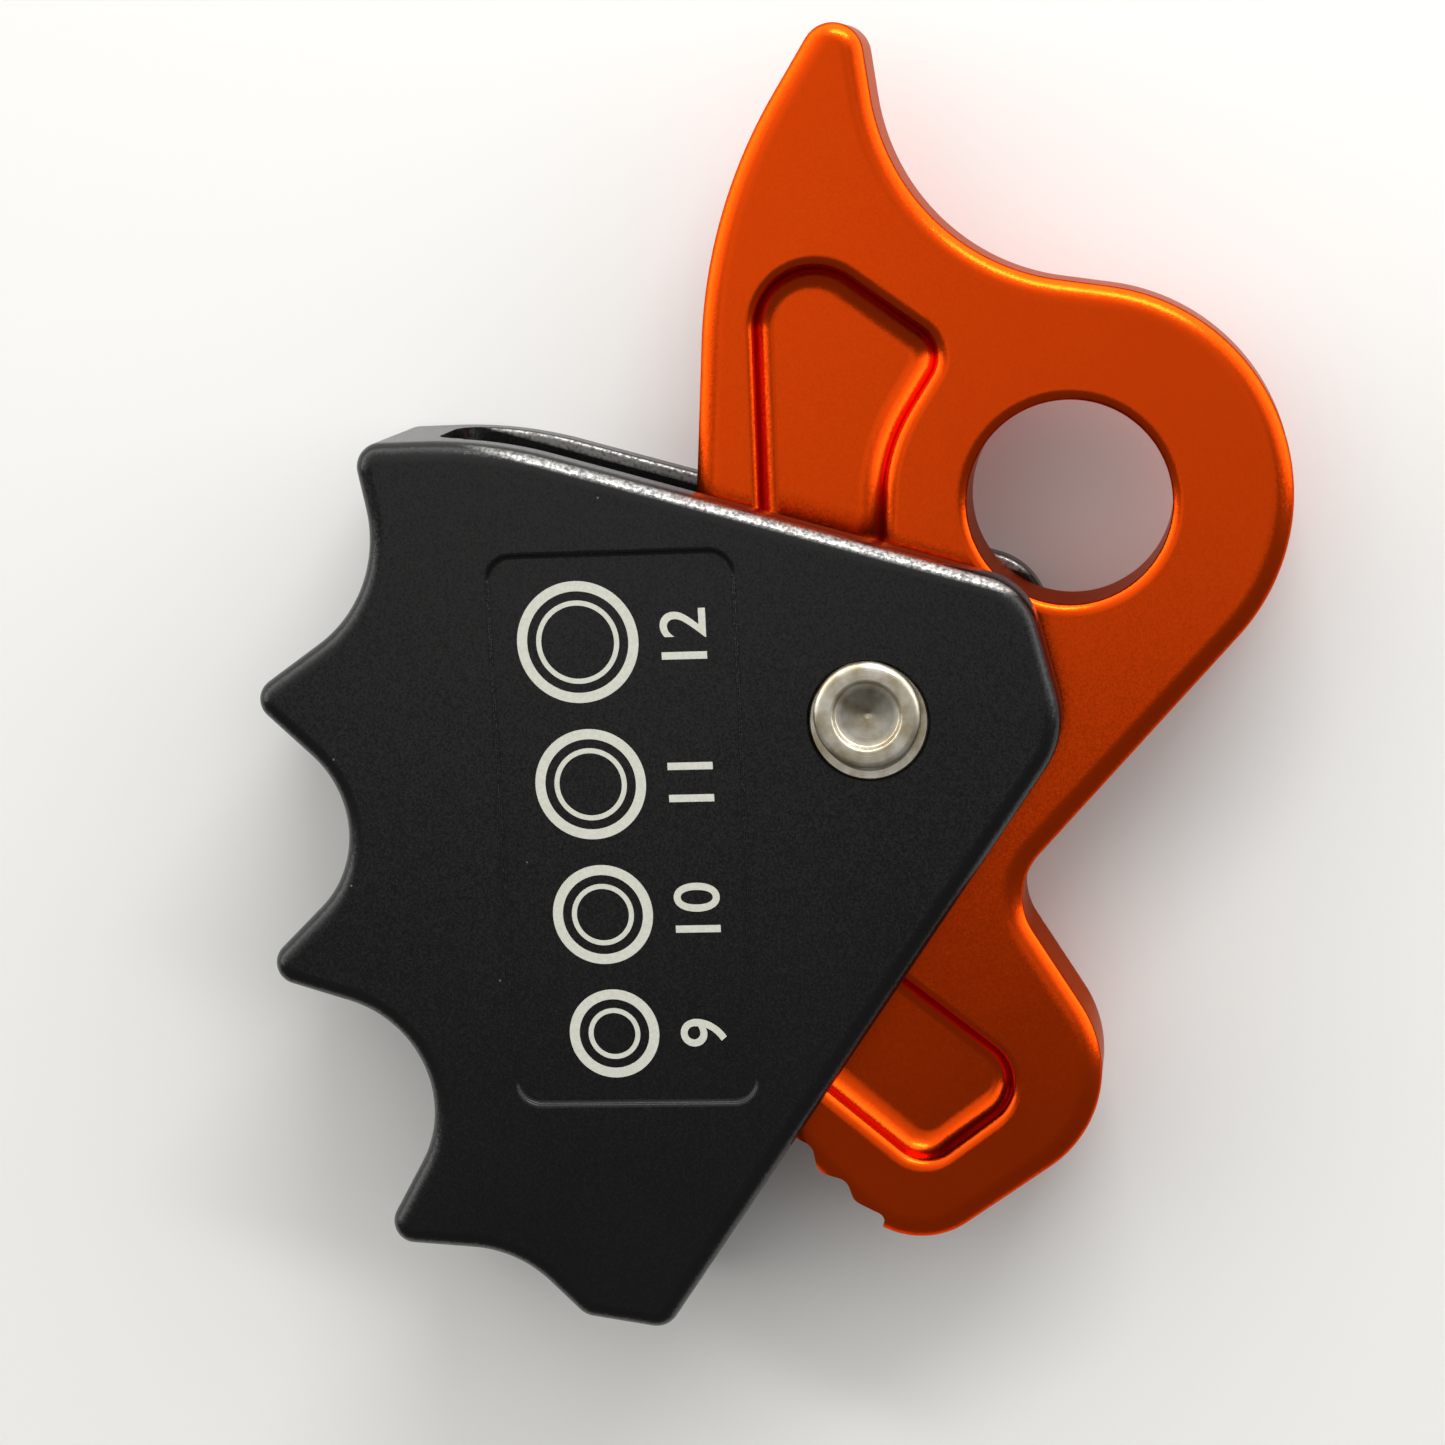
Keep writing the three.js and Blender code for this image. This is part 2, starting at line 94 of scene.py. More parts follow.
picture_up = Vector((math.sin(math.radians(picture_roll)), math.cos(math.radians(picture_roll)), 0))
picture_right = Vector((picture_up.y, -picture_up.x, 0))
sight = picture_right * sight_right_share + picture_up * sight_up_share
sight.z = math.sqrt(1 - sight_right_share**2 - sight_up_share**2)
camera_right = picture_up.cross(sight).normalized()
camera_up = sight.cross(camera_right)
camera = bpy.data.objects.new("camera", bpy.data.cameras.new("camera"))
camera.data.lens = lens_length
camera.data.sensor_width = sensor_width
camera.data.clip_start = near_clip * MM
camera.matrix_world = (
    Matrix.Translation(place(*aim) + sight * stand_off * MM)
    @ Matrix((camera_right, camera_up, sight)).transposed().to_4x4()
)
bpy.context.collection.objects.link(camera)
bpy.context.scene.camera = camera
bpy.context.scene.view_settings.view_transform = "Standard"


# The floor is a smooth pale board. Two soft boxes hang overhead, a bright strip stands beyond the arm, and
# pale walls on three sides make the rounded edges glow, while the side towards the toe is dim. What the
# camera sees past the board is white.
def linear(hex_colour):
    """A shade written as sRGB hex, as the linear numbers that a shader takes."""
    shares = [int(hex_colour[i:i + 2], 16) / 255 for i in (1, 3, 5)]
    return [c / 12.92 if c <= 0.04045 else ((c + 0.055) / 1.055) ** 2.4 for c in shares] + [1]


def add(tree, kind, inputs=(), **settings):
    """Adds a node with its settings. An input is a value, or the socket that feeds it.

    Inputs whose names repeat go by number. A Map Range takes 0 from the range 1 to 2 to the range 3 to 4,
    and a Mix of colours has its factor at 0 and the two colours at 6 and 7.
    """
    node = tree.nodes.new(kind)
    for name, value in settings.items():
        setattr(node, name, value)
    for name, value in dict(inputs).items():
        if isinstance(value, bpy.types.NodeSocket):
            tree.links.new(value, node.inputs[name])
        else:
            node.inputs[name].default_value = value
    return node


def new_material(name):
    """An empty material and its tree."""
    material = bpy.data.materials.new(name)
    material.use_nodes = True
    material.node_tree.nodes.clear()
    return material, material.node_tree


def end_material(tree, paint):
    """Ends a material's tree in one shader with the inputs that are given."""
    shader = add(tree, "ShaderNodeBsdfPrincipled", paint)
    add(tree, "ShaderNodeOutputMaterial", {"Surface": shader.outputs[0]})


floor_reach, floor_drop = 1500, 0.1
# The board's matt skin has a faint grain, drawn coarse enough to show.
board_grain, grain_height = 1.5, 0.1
board, tree = new_material("matt_white_board")
coords = add(tree, "ShaderNodeTexCoord").outputs["Object"]
grain = add(tree, "ShaderNodeTexNoise", {"Vector": coords, "Scale": 1 / (board_grain * MM)})
relief = {"Height": grain.outputs[0], "Strength": 0.05, "Distance": grain_height * MM}
bump = add(tree, "ShaderNodeBump", relief)
paint = {"Base Color": linear("#EEEEEC"), "Roughness": 0.7, "Normal": bump.outputs[0]}
end_material(tree, paint)

floor_mesh = bpy.data.meshes.new("floor")
floor_corners = [(-1, -1), (1, -1), (1, 1), (-1, 1)]
floor_points = [(x * floor_reach * MM, y * floor_reach * MM, -floor_drop * MM) for x, y in floor_corners]
floor_mesh.from_pydata(floor_points, [], [range(len(floor_points))])
floor_mesh.materials.append(board)
floor = bpy.data.objects.new("floor", floor_mesh)
bpy.context.collection.objects.link(floor)
floor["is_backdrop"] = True

# The walls fade in over the horizon, out towards the zenith, and out on the side towards the toe. A
# direction's height and its lean towards the arm are shares of its length.
room_strength, wall_strength, wall_fall = 0.17, 4.2, 1.5
horizon_shares, zenith_shares, toe_side_shares = (0.0, 0.12), (1.0, 0.15), (-0.17, 0.05)
room = bpy.data.worlds.new("room")
bpy.context.scene.world = room
room.use_nodes = True
tree = room.node_tree
tree.nodes.clear()
rays = add(tree, "ShaderNodeLightPath").outputs
way = add(tree, "ShaderNodeTexCoord").outputs["Generated"]
way = add(tree, "ShaderNodeSeparateXYZ", {0: way}).outputs
over_floor = {0: way["Z"], 1: horizon_shares[0], 2: horizon_shares[1]}
over_floor = add(tree, "ShaderNodeMapRange", over_floor, interpolation_type="SMOOTHSTEP")
under_zenith = {0: way["Z"], 1: zenith_shares[0], 2: zenith_shares[1]}
under_zenith = add(tree, "ShaderNodeMapRange", under_zenith)
under_zenith = {0: under_zenith.outputs[0], 1: wall_fall}
under_zenith = add(tree, "ShaderNodeMath", under_zenith, operation="POWER")
round_three_sides = {0: way["Y"], 1: toe_side_shares[0], 2: toe_side_shares[1]}
round_three_sides = add(tree, "ShaderNodeMapRange", round_three_sides, interpolation_type="SMOOTHSTEP")
band = {0: over_floor.outputs[0], 1: under_zenith.outputs[0]}
band = add(tree, "ShaderNodeMath", band, operation="MULTIPLY")
band = {0: band.outputs[0], 1: round_three_sides.outputs[0]}
band = add(tree, "ShaderNodeMath", band, operation="MULTIPLY")
light = {0: band.outputs[0], 1: wall_strength, 2: room_strength}
light = add(tree, "ShaderNodeMath", light, operation="MULTIPLY_ADD")
dim = add(tree, "ShaderNodeBackground", {"Color": linear("#FAF9F7"), "Strength": light.outputs[0]})
white = add(tree, "ShaderNodeBackground", {"Color": linear("#FFFFFF"), "Strength": 1.0})
seen = {0: rays["Is Camera Ray"], 1: dim.outputs[0], 2: white.outputs[0]}
seen = add(tree, "ShaderNodeMixShader", seen)
add(tree, "ShaderNodeOutputWorld", {"Surface": seen.outputs[0]})

# Each lamp is a soft box: where it stands, the lengths of its two sides, how bright its face is, and its
# colour.
lamps = {
    "overhead_box": ((-10, 100, 430), (440, 400), 0.42, "#FFFDFA"),
    "side_box": ((-205, 100, 425), (250, 400), 0.2, "#FFFDFA"),
    "top_strip": ((110, 420, 300), (330, 45), 27.0, "#FFFFFF"),
}
lamp_target = Vector((0, 0, body_thickness))
for lamp_name, (spot, lamp_sides, brightness, lamp_colour) in lamps.items():
    lamp = bpy.data.lights.new(lamp_name, "AREA")
    lamp.shape = "RECTANGLE"
    lamp.size = lamp_sides[0] * MM
    lamp.size_y = lamp_sides[1] * MM
    lamp.energy = brightness * math.pi * lamp.size * lamp.size_y
    lamp.color = linear(lamp_colour)[:3]
    stand = bpy.data.objects.new(lamp_name, lamp)
    stand.location = place(*spot)
    stand.rotation_euler = (lamp_target - Vector(spot)).to_track_quat("-Z", "Y").to_euler()
    bpy.context.collection.objects.link(stand)


# The body is machined from one block of aluminium: two cheeks joined by the spine, whose back is cut in
# four scallops for a grip. Its outer edges are rounded, and it is bead-blasted and anodised black.
# The points of an arc lie no further apart than this chord and this turn. Points that lie within the
# merge reach of each other become one.
arc_chord, arc_turn = 0.5, 9
merge_reach = 0.0005


def polar(centre, distance, bearing):
    """A point at a distance and a bearing from another."""
    angle = math.radians(bearing)
    return centre[0] + distance * math.cos(angle), centre[1] + distance * math.sin(angle)


def belt(rounds, inset=0.0):
    """The points of an outline that runs anticlockwise round circles, as a belt runs round pulleys.

    A round is (x, y, radius), and a hollow has a negative radius. The inset draws the outline inwards.
    """
    bearings = []
    for here, there in zip(rounds, rounds[1:] + rounds[:1]):
        way = math.atan2(there[1] - here[1], there[0] - here[0])
        bearings.append(way - math.asin((there[2] - here[2]) / math.dist(here[:2], there[:2])))
    points = []
    for index, (x, y, radius) in enumerate(rounds):
        arriving = bearings[index - 1]
        bend = math.remainder(bearings[index] - arriving, math.tau)
        steps = math.ceil(abs(bend) * max(abs(radius) / arc_chord, math.degrees(1) / arc_turn))
        for step in range(steps + 1):
            bearing = arriving + bend * step / max(steps, 1)
            reach = radius - inset
            points.append((x + reach * math.sin(bearing), y - reach * math.cos(bearing)))
    return points


def loft(name, rings, endless=False):
    """A closed solid through rings of as many points each, which an endless one joins last to first."""
    shape = bmesh.new()
    loops = [[shape.verts.new(place(*point)) for point in ring] for ring in rings]
    onward = loops[1:] + loops[:1] if endless else loops[1:]
    for low, high in zip(loops, onward):
        for i in range(len(low)):
            shape.faces.new((low[i - 1], low[i], high[i], high[i - 1]))
    if not endless:
        shape.faces.new(loops[0])
        shape.faces.new(loops[-1])
    bmesh.ops.remove_doubles(shape, verts=shape.verts, dist=merge_reach * MM)
    bmesh.ops.recalc_face_normals(shape, faces=shape.faces)
    mesh = bpy.data.meshes.new(name)
    shape.to_mesh(mesh)
    shape.free()
    piece = bpy.data.objects.new(name, mesh)
    bpy.context.collection.objects.link(piece)
    return piece


def plate(name, rounds, section):
    """A solid whose outline is drawn in by an inset at each height of its section."""
    return loft(name, [[(x, y, z) for x, y in belt(rounds, inset)] for inset, z in section])


def turned(name, profile, centre=(0, 0), drift=(0, 0), sides=96):
    """A turned solid from (radius, height) pairs. A third number is a ring's share of the drift."""
    rings = []
    for radius, z, *share in profile:
        x = centre[0] + drift[0] * sum(share)
        y = centre[1] + drift[1] * sum(share)
        bearings = [360 * side / sides for side in range(sides)]
        rings.append([(*polar((x, y), radius, bearing), z) for bearing in bearings])
    return loft(name, rings)


def quarter(centre, reach, start, turn=90, steps=6):
    """The points of part of a circle in a section, from a start angle."""
    return [polar(centre, reach, start + turn * step / steps) for step in range(steps + 1)]


def carve(piece, cutters):
    """Cuts pieces out of another, and takes the cutters away."""
    for cutter in cutters:
        modifier = piece.modifiers.new("carve", "BOOLEAN")
        modifier.operation = "DIFFERENCE"
        modifier.solver = "MANIFOLD"
        modifier.object = cutter
    settle(piece)
    for cutter in cutters:
        bpy.data.objects.remove(cutter)


def settle(piece):
    """Turns what the modifiers make of a piece into its own plain mesh."""
    evaluated = piece.evaluated_get(bpy.context.evaluated_depsgraph_get())
    mesh = bpy.data.meshes.new_from_object(evaluated)
    piece.modifiers.clear()
    piece.data = mesh


def finish(piece, material, slot, body, *nodes, sharp=38):
    """Shades a piece smooth between its sharp edges, and gives it its finish and the body it rides on.

    A piece that is blended between two bodies rides on none.
    """
    piece.data.materials.clear()
    piece.data.materials.append(material)
    piece.data.shade_smooth()
    piece.data.set_sharp_from_angle(angle=math.radians(sharp))
    weighted = piece.modifiers.new("flat_faces_lead", "WEIGHTED_NORMAL")
    weighted.keep_sharp = True
    weighted.weight = 100
    settle(piece)
    if body:
        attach(piece, body)
    if nodes:
        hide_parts(*nodes)


cheek, spine, edge_radius = 4.3, 3.6, 1.8
support = 0.15
scallop_radii, horn_insets = (13.3, 10.7, 11.5, 11.9), (4.1, 1.6, 2.2)
grip_radius, grip_reach, grip_y, grip_bearing = 112.5, 63.6, -0.7, 192.2
horn_radius, horn_flank = 2.2, 1.3
corner_radius, shoulder_radius, shoulder_run = 2.4, 44, 4
top_flank, top_bearing = 0.4, 22.7
foot_flank, foot_bearing = 0.6, 27.8
toe_run, toe_drop = 6.1, 1.05
pivot_corner, nose_corner = (9.4, -0.1, 9.1), (9.95, 7.15, 6.9)


def crossing(first, first_reach, second, second_reach):
    """Where two circles cross, on the left of the way from the first centre to the second."""
    gap = math.dist(first[:2], second[:2])
    along = (gap**2 + first_reach**2 - second_reach**2) / (2 * gap)
    aside = math.sqrt(first_reach**2 - along**2)
    way_x, way_y = (second[0] - first[0]) / gap, (second[1] - first[1]) / gap
    return first[0] + way_x * along - way_y * aside, first[1] + way_y * along + way_x * aside


grip_centre = (grip_radius - grip_reach, grip_y)
reaches = [radius + horn_radius + horn_flank for radius in scallop_radii]
grip_steps = []
for before, after, horn_inset in zip(reaches, reaches[1:], horn_insets):
    chord = math.sqrt(before**2 - horn_inset**2) + math.sqrt(after**2 - horn_inset**2)
    grip_steps.append(2 * math.degrees(math.asin(chord / 2 / grip_radius)))
first_bearing = grip_bearing - sum(grip_steps) / 2
bearings = [first_bearing + sum(grip_steps[:i]) for i in range(len(scallop_radii))]
scallops = [polar(grip_centre, grip_radius, bearing) for bearing in bearings]
horns = [
    crossing(before, reach, after, next_reach)
    for before, reach, after, next_reach in zip(scallops, reaches, scallops[1:], reaches[1:])
]

top_corner = polar(scallops[0], scallop_radii[0] + corner_radius + top_flank, top_bearing)
shoulder = (top_corner[0] + shoulder_run, top_corner[1] + corner_radius - shoulder_radius)
foot = polar(scallops[-1], scallop_radii[-1] + corner_radius + foot_flank, foot_bearing)
toe = (foot[0] + toe_run, foot[1] - toe_drop)
body_outline = [pivot_corner, nose_corner, (*shoulder, shoulder_radius), (*top_corner, corner_radius)]
for scallop, scallop_radius, horn in zip(scallops, scallop_radii, horns + [None]):
    body_outline.append((*scallop, -scallop_radius))
    if horn:
        body_outline.append((*horn, horn_radius))
body_outline += [(*foot, corner_radius), (*toe, corner_radius)]


def rounded_section(low, high, reach):
    """The section of a plate rounded at both faces, with a flat step inside each for even shading."""
    lower = [(reach + x, low + reach + z) for x, z in quarter((0, 0), reach, 270, -90, steps=8)]
    upper = [(reach + x, high - reach + z) for x, z in quarter((0, 0), reach, 180, -90, steps=8)]
    return [(reach + support, low)] + lower + upper + [(reach + support, high)]


body_piece = plate("machined_body", body_outline, rounded_section(0, body_thickness, edge_radius))

# The rope channel is milled straight through, and its mouth along the cheeks has a small broken edge.
channel_corner, mouth_break, overrun = 3, 0.45, 2
channel_wall = max(x + radius for (x, y), radius in zip(scallops[:-1], scallop_radii)) + spine
channel_far = 60
channel_low, channel_high = cheek, body_thickness - cheek
channel_section = belt([
    (channel_wall + channel_corner, channel_low + channel_corner, channel_corner),
    (channel_far, channel_low + channel_corner, channel_corner),
    (channel_far, channel_high - channel_corner, channel_corner),
    (channel_wall + channel_corner, channel_high - channel_corner, channel_corner),
])
channel_ends = (-grip_radius, grip_radius)
channel = loft("channel_cutter", [[(x, y, z) for x, z in channel_section] for y in channel_ends])

# The mouth's cutter follows the outline from one end of the spine round to the other.
plain_outline = belt(body_outline)
leftmost = min(range(len(plain_outline)), key=lambda i: plain_outline[i][0])
run = [(leftmost + i) % len(plain_outline) for i in range(len(plain_outline))]
run = [i for i in run if plain_outline[i][0] > channel_wall + channel_corner]
mouth_section = [(-overrun, channel_low - mouth_break)]
mouth_section += quarter((mouth_break, channel_low - mouth_break), mouth_break, 180, -90, steps=4)
mouth_section += quarter((mouth_break, channel_high + mouth_break), mouth_break, 270, -90, steps=4)
mouth_section += [(-overrun, channel_high + mouth_break)]
mouth_belts = [belt(body_outline, inset) for inset, z in mouth_section]
mouth_rings = [[(*points[i], z) for points, (inset, z) in zip(mouth_belts, mouth_section)] for i in run]
mouth = loft("mouth_cutter", mouth_rings)

# The marking lies in a shallow recess on each cheek, whose soft edges are twice as wide as they are deep.
label_x, label_y = -24.6, -10.45
label_width, label_height, label_corner = 25, 55.9, 2.8
label_depth, label_spread_share = 0.4, 2
label_edge = label_depth / 2
label_dx = label_width / 2 - label_corner
label_dy = label_height / 2 - label_corner
label_outline = [
    (label_x + side_x * label_dx, label_y + side_y * label_dy, label_corner)
    for side_x, side_y in ((1, -1), (1, 1), (-1, 1), (-1, -1))
]


def recess_cutter(name, face, outwards):
    """The cutter of a recess in a face: a rounded rim, a rounded root and a flat floor."""
    rim = quarter((0, -label_edge), label_edge, 90, -90, steps=4)
    root = quarter((label_depth, -label_edge), label_edge, 180, 90, steps=4)
    section = [
        (inset * label_spread_share, face + outwards * z) for inset, z in [(0, overrun)] + rim + root
    ]
    return plate(name, label_outline, section)


# Each cheek has a bore for the rivet's shank and a well for the ring under its head. The rear one also has
# a hole for a leg of the spring.
shank_radius, running_gap = 4, 0.25
seat_radius, seat_thickness, seat_break = 5.8, 0.7, 0.15
seat_clearance, seat_depth, rear_seat_depth = 0.06, 1.2, 2.4
mouth_chamfer = 0.15
well_radius = seat_radius + seat_clearance
wire, coil_radius, spring_start = 1.3, 9.35, -120
leg_clearance, leg_hole_depth = 0.35, 2.4
bore_radius = shank_radius + running_gap


def well_cutter(name, face, floor, outwards):
    """The cutter of a rivet's seat: a flat floor, a straight wall and a small chamfer at the mouth."""
    lip = face - outwards * mouth_chamfer
    profile = [(well_radius, floor), (well_radius, lip), (well_radius + mouth_chamfer, face)]
    return turned(name, profile + [(well_radius + mouth_chamfer, face + outwards * overrun)])


leg_spot = polar((0, 0), coil_radius, spring_start)
leg_radius = wire / 2 + leg_clearance
leg_profile = [(leg_radius, cheek - leg_hole_depth), (leg_radius, cheek + overrun)]
carve(body_piece, [
    channel,
    mouth,
    turned("bore_cutter", [(bore_radius, -overrun), (bore_radius, body_thickness + overrun)]),
    well_cutter("front_well_cutter", body_thickness, body_thickness - seat_depth, 1),
    well_cutter("rear_well_cutter", 0, rear_seat_depth, -1),
    recess_cutter("front_recess_cutter", body_thickness, 1),
    recess_cutter("rear_recess_cutter", 0, -1),
    turned("leg_hole_cutter", leg_profile, leg_spot),
])

# Anodising dyes the blasted skin of the metal a near-black, satin grey. Its tiny dimples, drawn coarse
# enough to show, glint where a lamp is mirrored, and it has faint clouding and a few specks of dust. Along
# the rounded edge beside the lever, patches of bright bare metal are painted on as a painted highlight.
dimple, dimple_lean_share = 0.16, 0.12
cloud, speck, speck_share = 14.0, 5.0, 0.022
# The painted highlight lies on the rounded edge that faces the strip lamp, broken into patches.
highlight_patch, highlight_bearing, highlight_reach, highlight_fade = 0.35, 73, 15.4, 0.4


def grained_skin(tree, coords, grain, lean_share):
    """The normal of a skin whose fine grains lean all ways, and how squarely it faces up or down."""
    facets = add(tree, "ShaderNodeTexVoronoi", {"Vector": coords, "Scale": 1 / (grain * MM)})
    tilt = {0: facets.outputs["Color"], 1: (0.5, 0.5, 0.5)}
    tilt = add(tree, "ShaderNodeVectorMath", tilt, operation="SUBTRACT")
    lean = add(tree, "ShaderNodeVectorMath", {0: tilt.outputs[0], "Scale": lean_share}, operation="SCALE")
    face_normal = add(tree, "ShaderNodeNewGeometry").outputs["Normal"]
    leant = add(tree, "ShaderNodeVectorMath", {0: face_normal, 1: lean.outputs[0]}, operation="ADD")
    leant = add(tree, "ShaderNodeVectorMath", {0: leant.outputs[0]}, operation="NORMALIZE")
    upwards = add(tree, "ShaderNodeSeparateXYZ", {0: face_normal}).outputs["Z"]
    upwards = add(tree, "ShaderNodeMath", {0: upwards}, operation="ABSOLUTE")
    return leant.outputs[0], upwards.outputs[0]


black_anodised, tree = new_material("bead_blasted_black_anodised_aluminium")
coords = add(tree, "ShaderNodeTexCoord").outputs["Object"]
skin_normal, flatness = grained_skin(tree, coords, dimple, dimple_lean_share)
clouding = add(tree, "ShaderNodeTexNoise", {"Vector": coords, "Scale": 1 / (cloud * MM), "Detail": 5.0})
dye = {0: clouding.outputs[0], 6: linear("#080809"), 7: linear("#0D0D0D")}
dye = add(tree, "ShaderNodeMix", dye, data_type="RGBA")
dust = add(tree, "ShaderNodeTexVoronoi", {"Vector": coords, "Scale": 1 / (speck * MM)})
near_speck = {0: dust.outputs["Distance"], 1: speck_share}
near_speck = add(tree, "ShaderNodeMath", near_speck, operation="LESS_THAN")
dusted = {0: near_speck.outputs[0], 6: dye.outputs[2], 7: linear("#5F5D59")}
dusted = add(tree, "ShaderNodeMix", dusted, data_type="RGBA")
satin = add(tree, "ShaderNodeMapRange", {0: clouding.outputs[0], 3: 0.24, 4: 0.3})
on_round = add(tree, "ShaderNodeMapRange", {0: flatness, 1: 0.45, 2: 0.65})
# Painted highlight: bright metal is mixed into the skin on the rounded edge beside the lever.
highlight_way = Vector((*polar((0, 0), 1, highlight_bearing), 0))
highlight_start = pivot.dot(highlight_way) + highlight_reach * MM
across = add(tree, "ShaderNodeVectorMath", {0: coords, 1: highlight_way}, operation="DOT_PRODUCT")
on_edge = {0: across.outputs["Value"], 1: highlight_start, 2: highlight_start + highlight_fade * MM}
on_edge = add(tree, "ShaderNodeMapRange", on_edge)
highlight_patches = add(tree, "ShaderNodeTexNoise", {"Vector": coords, "Scale": 1 / (highlight_patch * MM), "Detail": 4.0})
highlight_patches = add(tree, "ShaderNodeMapRange", {0: highlight_patches.outputs[0], 1: 0.35, 2: 0.65, 3: 0.15, 4: 0.7})
painted_highlight = {0: on_round.outputs[0], 1: on_edge.outputs[0]}
painted_highlight = add(tree, "ShaderNodeMath", painted_highlight, operation="MULTIPLY")
painted_highlight = {0: painted_highlight.outputs[0], 1: highlight_patches.outputs[0]}
painted_highlight = add(tree, "ShaderNodeMath", painted_highlight, operation="MULTIPLY")
highlit_skin = {0: painted_highlight.outputs[0], 6: dusted.outputs[2], 7: linear("#C9C8C4")}
highlit_skin = add(tree, "ShaderNodeMix", highlit_skin, data_type="RGBA")
skin = {"Base Color": highlit_skin.outputs[2], "Metallic": painted_highlight.outputs[0], "Roughness": satin.outputs[0]}
skin |= {"IOR": 1.42, "Normal": skin_normal}
end_material(tree, skin)
finish(body_piece, black_anodised, "black_anodised_aluminium", "frame", "body")

# The cam lever is forged and machined: the arm that opens it, the carabiner eye, the hub and the toothed
# cam, with a pocket on each face of the arm and of the cam. It is satin finished and anodised orange.
lever_low, lever_high = 5.5, 16
lever_easing, eye_easing = 3.0, 1.5
easing_turn, easing_corner = 43, 0.4
eye_x, eye_y, eye_radius = 19.7, 19.85, 9.9
lobe_aside, lobe_rise, lobe_rim = 1, 0.45, 10.5
saddle_radius, saddle_flank, saddle_bearing = 21, 0.3, 87
tip_radius, tip_flank = 3, 0.4
arm_back, hub_radius, tooth_arc = (34.45, 32.5, 50), 18.3, (9.3, -31.6, 22.8)
lobe_foot, lobe_heel, neck = (2.6, -45.7, 8.2), (8.8, -36.5, 12.35), (20.3, -19.25, -6.4)
lobe = (eye_x + lobe_aside, eye_y + lobe_rise, eye_radius + lobe_rim)
saddle = polar(lobe, lobe[2] + saddle_radius + saddle_flank, saddle_bearing)
tip_from_back = arm_back[2] - tip_radius + tip_flank
tip_from_saddle = saddle_radius + tip_radius + tip_flank
tip = crossing(arm_back, tip_from_back, saddle, tip_from_saddle)
lever_outline = [
    lobe,
    (*saddle, -saddle_radius),
    (*tip, tip_radius),
    arm_back,
    (0, 0, hub_radius),
    tooth_arc,
    lobe_foot,
    lobe_heel,
    neck,
]


def eased_edge(radius):
    """An edge eased over by tumbling, from face to side, as a broad and a tight round: insets and drops."""
    tight, turn = easing_corner, math.radians(easing_turn)
    width = radius * math.sin(turn) + tight * (1 - math.sin(turn))
    drop = (radius - tight) * (1 - math.cos(turn))
    broad_round = quarter((width, -radius), radius, 90, easing_turn, steps=12)
    tight_round = quarter((tight, -drop - tight), tight, 90 + easing_turn, 90 - easing_turn, steps=4)
    return [(width + support, 0)] + broad_round + tight_round[1:]


lever_edge = eased_edge(lever_easing)
lever_section = [(inset, lever_low - drop) for inset, drop in lever_edge]
lever_section += [(inset, lever_high + drop) for inset, drop in reversed(lever_edge)]
lever = plate("forged_cam_lever", lever_outline, lever_section)

# Each pocket has a rounded rim, a steep wall and a broad round at its floor, which is set over to one
# side.
pocket_depth, pocket_rim, pocket_root, pocket_lead = 2.7, 1.3, 2.3, 0.5
pocket_steepness = math.degrees(math.acos(1 - pocket_depth / (pocket_rim + pocket_root)))
upper_drift, lower_drift = (-0.9, -0.2), (0.3, 0.3)
hub_web, eye_web_width, nip = 14, 7, 0.35
eye_web = eye_radius + eye_web_width
nose_radius, nose_bearing, heel_radius = 3.9, 136, 3.2
pocket_nose = polar((eye_x, eye_y), eye_web + nose_radius + nip, nose_bearing)
pocket_heel = crossing((0, 0), hub_web + heel_radius + nip, (eye_x, eye_y), eye_web + heel_radius + nip)
upper_pocket = [
    (*pocket_nose, nose_radius),
    (-4, 37.7, 6.5),
    (-7.5, 15.7, 3.2),
    (0, 0, -hub_web),
    (*pocket_heel, heel_radius),
    (eye_x, eye_y, -eye_web),
]
lower_pocket = [(7.6, -37.9, 5.2), (-4, -25.9, 3.3), (-6.7, -34.9, 3.3), (3.2, -42.1, 4.4)]


def pocket_cutter(name, outline, drift, face, outwards):
    """The cutter of a pocket in a face of the lever."""
    rim = quarter((-pocket_lead, -pocket_rim), pocket_rim, 90, -pocket_steepness, steps=8)
    wall_x = (pocket_rim + pocket_root) * math.sin(math.radians(pocket_steepness)) - pocket_lead
    root_centre = (wall_x, pocket_root - pocket_depth)
    root = quarter(root_centre, pocket_root, 270 - pocket_steepness, pocket_steepness, steps=8)
    rings = [[(x, y, face + outwards * overrun) for x, y in belt(outline, -pocket_lead)]]
    for inset, z in rim + root[1:]:
        share = (inset + pocket_lead) / (wall_x + pocket_lead)
        aside, along = drift[0] * share, drift[1] * share
        rings.append([(x + aside, y + along, face + outwards * z) for x, y in belt(outline, inset)])
    return loft(name, rings)


eye_edge = eased_edge(eye_easing)[1:]
eye_rim = eye_radius + eye_edge[0][0]
eye_profile = [(eye_rim, lever_low - overrun)]
eye_profile += [(eye_radius + inset, lever_low - drop) for inset, drop in eye_edge]
eye_profile += [(eye_radius + inset, lever_high + drop) for inset, drop in reversed(eye_edge)]
eye_profile += [(eye_rim, lever_high + overrun)]

